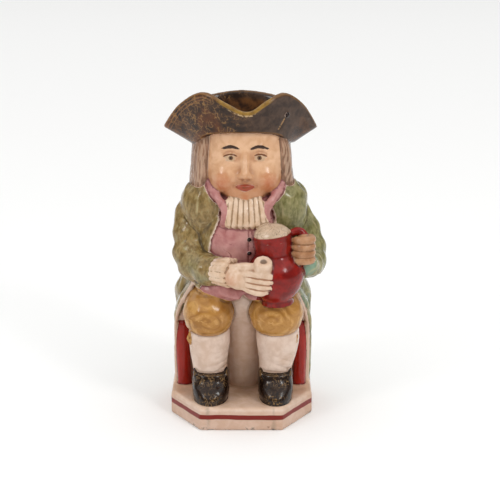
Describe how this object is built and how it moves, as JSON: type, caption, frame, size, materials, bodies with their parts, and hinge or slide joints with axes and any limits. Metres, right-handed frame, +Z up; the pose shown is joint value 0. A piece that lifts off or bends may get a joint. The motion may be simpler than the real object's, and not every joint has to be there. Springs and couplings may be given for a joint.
{
  "type": "toby jug",
  "caption": "Hollow glazed earthenware jug in the form of a seated drinker in a cocked hat, holding a small ale jug; the hat is the mouth and a loop handle stands at the back.",
  "frame": {"origin": "on the flat underside of the base, under the middle of the figure", "axes": "+Z up; the figure faces -Y; +X is at the viewer's right"},
  "size_m": [0.1229, 0.1479, 0.2517],
  "materials": {
    "glazed_earthenware": "hand-painted enamels under and over a glossy clear lead glaze"
  },
  "bodies": {
    "root": {"toby_jug": "glazed_earthenware"}
  },
  "joints": []
}
